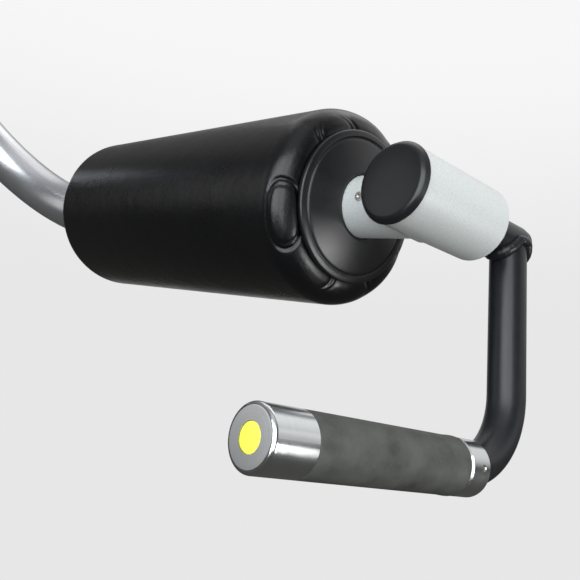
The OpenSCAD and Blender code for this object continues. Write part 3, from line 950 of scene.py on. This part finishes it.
def plug_outline():
    """Dome from the axis outwards, soft ridge, steep skirt, back face and the inner ring."""
    skirt_end = plug_r - 0.2
    ridge_r = skirt_end - SKIRT - BLEND * (sin(radians(STEEP)) - sin(radians(10)))
    centre = -0.5 - SKIRT * sin(radians(STEEP)) / cos(radians(STEEP)) + BLEND * cos(radians(STEEP))
    brow = centre - BLEND * cos(radians(10))
    dome = [(ridge_r * i / 14, brow - DOME * (1 - (i / 14) ** 3)) for i in range(14)]
    ridge = arc((ridge_r - BLEND * sin(radians(10)), centre), BLEND, -80, STEEP - 90, 10)
    skirt = [(skirt_end, -0.5), (plug_r, -0.2)]
    ring_r = reach("near_outer_ring", on_pivot)[2]
    back = [(plug_r, 0.0), (ring_r, 0.0), (ring_r, plug_high), (ring_r - 2.5, plug_high),
            (ring_r - 2.5, 1.0), (0.0, 1.0)]
    return dome + ridge + skirt + back


plug = settle(turned(plug_outline(), 128), "domed_plug", on_pivot, "arm",
              plastic_black)
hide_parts("end_plug")

# %% [markdown]
# ## The weld under the pivot shaft
# The hanging tube is cut to fit round the shaft and welded all round. The bead follows the curve
# where the two cylinders meet, and its ripples are the puddles that the welder leaves. A bevelled
# curve is the quick way to sweep it; its radius swells a little at each ripple. Wet paint has
# filled the corner, so the bead is wide and smooth.

# %% Shaft weld
shaft_r = 14.3                               # the pivot shaft and the hanging tube, in mm
tube_r = 15.0
tube_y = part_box("drop_tube")[1].y - tube_r * MM


def weld_curve():
    """The closed curve on the underside of the shaft, with a radius that ripples."""
    data = bpy.data.curves.new("shaft_bead", "CURVE")
    data.dimensions = "3D"
    data.bevel_depth = 1.0
    data.bevel_resolution = 5
    line = data.splines.new("POLY")
    steps = 180
    line.points.add(steps - 1)
    for i, point in enumerate(line.points):
        turn = 2 * pi * i / steps
        x = tube_r * sin(turn)
        y = tube_r * cos(turn)
        drop = max(shaft_r ** 2 - x ** 2, 9.0) ** 0.5
        near = max(0, -cos(turn)) ** 2
        along = y * (1.03 + 0.10 * near) + (tube_y - pivot.y) / MM
        point.co = (x * 1.03, along, -drop - 0.6 - near, 1)
        point.radius = 4.0 + 2.2 * near + 0.10 * sin(turn * 30)
    line.use_cyclic_u = True
    return data


def make_weld():
    """Turns the swept bead into a mesh piece in the part's own axes."""
    maker = bpy.data.objects.new("bead_maker", weld_curve())
    bpy.context.collection.objects.link(maker)
    bpy.context.view_layer.update()
    depsgraph = bpy.context.evaluated_depsgraph_get()
    swept = bpy.data.meshes.new_from_object(maker.evaluated_get(depsgraph))
    bpy.data.objects.remove(maker)
    bm = bmesh.new()
    bm.from_mesh(swept)
    bmesh.ops.remove_doubles(bm, verts=bm.verts, dist=0.0005)
    for _ in range(3):
        bmesh.ops.smooth_vert(bm, verts=bm.verts, factor=0.4, use_axis_x=True, use_axis_y=True,
                              use_axis_z=True)
    bmesh.ops.recalc_face_normals(bm, faces=bm.faces)
    upright = Matrix.Translation(pivot) @ Matrix.Scale(MM, 4)
    return settle(bm, "shaft_weld_bead", upright, "handle", tube_black)


weld = make_weld()
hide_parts("shaft_weld")

# %% [markdown]
# ## The rubber sleeve
# The sleeve is a soft tube that stretches over the grip. Its ends are rounded by moulding, and the
# end by the collar swells a little, because the sleeve was pushed against it.

# %% Rubber sleeve
sleeve_start, sleeve_end, sleeve_r = reach("rubber_grip", on_grip)
SWELLING, SWELL_LEN, LIP = 0.40, 13.0, 2.8


def sleeve_outline():
    """Outer skin with a soft lip at each end, then the bore."""
    fat = sleeve_r + SWELLING
    skin = arc((sleeve_r - 0.7, sleeve_start + 0.7), 0.7, -90, 0, 4)
    length = sleeve_end - SWELL_LEN - sleeve_start - 0.7
    skin += [(sleeve_r, sleeve_start + 0.7 + length * i / 22) for i in range(1, 23)]
    for i in range(1, 9):
        part = i / 8
        skin.append((sleeve_r + SWELLING * part * part * (3 - 2 * part),
                     sleeve_end - SWELL_LEN + (SWELL_LEN - LIP - 1.5) * part))
    skin += arc((fat - LIP, sleeve_end - LIP), LIP, 0, 90, 9)
    return skin + [(tube_r, sleeve_end), (tube_r, sleeve_start)]


sleeve = settle(turned(sleeve_outline(), 128), "rubber_sleeve", on_grip, "handle",
                rubber_grey)
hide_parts("rubber_grip")

# %% [markdown]
# ## The yellow disc
# The disc is punched from sheet with a slightly rounded edge, and sits a fifth of a millimetre
# below the cap's face. A turned outline gives that edge with very few points.

# %% Yellow disc
disc_low, disc_high, disc_r = reach("cap_disc", on_grip)
EDGE, SUNK = 0.35, 0.2
face = arc((disc_r - 0.25 - EDGE, disc_low + SUNK + EDGE), EDGE, -90, 0, 4)
outline = [(0.0, disc_low + SUNK)] + face + [(disc_r - 0.25, disc_high), (0.0, disc_high)]
disc = settle(turned(outline, 96), "yellow_disc", on_grip, "handle", disc_yellow)
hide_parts("cap_disc")

# %% [markdown]
